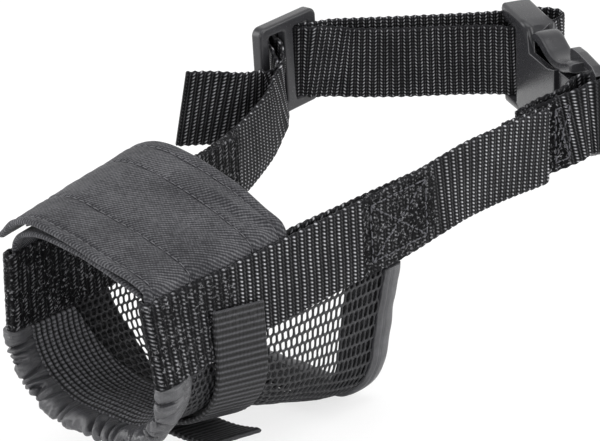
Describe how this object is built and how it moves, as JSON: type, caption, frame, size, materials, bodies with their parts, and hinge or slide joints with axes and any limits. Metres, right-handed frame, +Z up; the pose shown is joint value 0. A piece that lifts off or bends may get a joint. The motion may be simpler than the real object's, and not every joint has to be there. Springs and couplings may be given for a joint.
{
  "type": "dog muzzle",
  "caption": "Soft adjustable dog muzzle: net chin panel, overlapping nose flaps, webbing sides and a neck strap with slider and side-release buckle.",
  "frame": {"origin": "mid-plane of the nose opening, at its front edge, level with the lower edge of the side webbing", "axes": "-Y out of the nose opening, +Y towards the neck, +X the dog's left side, +Z up; the webbing lies level"},
  "size_m": [0.1124, 0.2258, 0.0831],
  "materials": {
    "webbing": "woven",
    "nose_fabric": "twill",
    "binding": "satin",
    "net": "open net",
    "lining": "ribbed knit",
    "grosgrain": "ribbed",
    "hook_loop": "fuzzy",
    "thread": "matte",
    "plastic": "satin"
  },
  "bodies": {
    "muzzle": {"mesh_panel": "net", "front_cuff": "binding", "chin_lining": "lining", "rear_binding": "binding", "left_side_webbing": "webbing", "right_side_webbing": "webbing", "left_box_stitch": "thread", "right_box_stitch": "thread", "nose_inner_flap": "nose_fabric", "nose_loop_patch": "hook_loop", "chin_strap_left": "grosgrain", "chin_strap_right": "grosgrain", "chin_loop_patch": "hook_loop", "back_strap": "webbing", "buckle_socket": "plastic"},
    "nose_cover": {"nose_outer_flap": "nose_fabric", "nose_hook_patch": "hook_loop"},
    "chin_flap": {"chin_tab": "grosgrain", "chin_hook_patch": "hook_loop"},
    "plug": {"buckle_plug": "plastic", "left_strap_end_loop": "webbing", "loop_box_stitch": "thread"},
    "arm_upper": {"buckle_arm_upper": "plastic"},
    "arm_lower": {"buckle_arm_lower": "plastic"},
    "slider": {"tri_glide_slider": "plastic", "strap_threading": "webbing"},
    "tail": {"strap_tail": "webbing"}
  },
  "joints": [
    {"name": "nose_flap_open", "type": "hinge", "parent": "muzzle", "child": "nose_cover", "pos_m": [0.02578, 0.0016, 0.0265], "axis": [0.0499, 0.9988, 0], "range_deg": [0, 130]},
    {"name": "chin_tab_open", "type": "hinge", "parent": "muzzle", "child": "chin_flap", "pos_m": [-0.0066, 0.0188, -0.03033], "axis": [0, 0.9513, -0.3081], "range_deg": [0, 75]},
    {"name": "buckle_release", "type": "slide", "parent": "muzzle", "child": "plug", "axis": [0.8559, -0.5171, 0], "range_m": [0, 0.028]},
    {"name": "arm_upper_squeeze", "type": "hinge", "parent": "plug", "child": "arm_upper", "pos_m": [0.02301, 0.20009, 0.0229], "axis": [-0.5171, -0.8559, 0], "range_deg": [0, 6]},
    {"name": "arm_lower_squeeze", "type": "hinge", "parent": "plug", "child": "arm_lower", "pos_m": [0.02301, 0.20009, 0.0061], "axis": [0.5171, 0.8559, 0], "range_deg": [0, 6]},
    {"name": "slider_adjust", "type": "slide", "parent": "muzzle", "child": "slider", "axis": [0, 1, 0], "range_m": [-0.005, 0.005]},
    {"name": "tail_swing", "type": "hinge", "parent": "slider", "child": "tail", "pos_m": [-0.0644, 0.1456, 0.014], "axis": [0, 0, -1], "range_deg": [0, 60]}
  ]
}
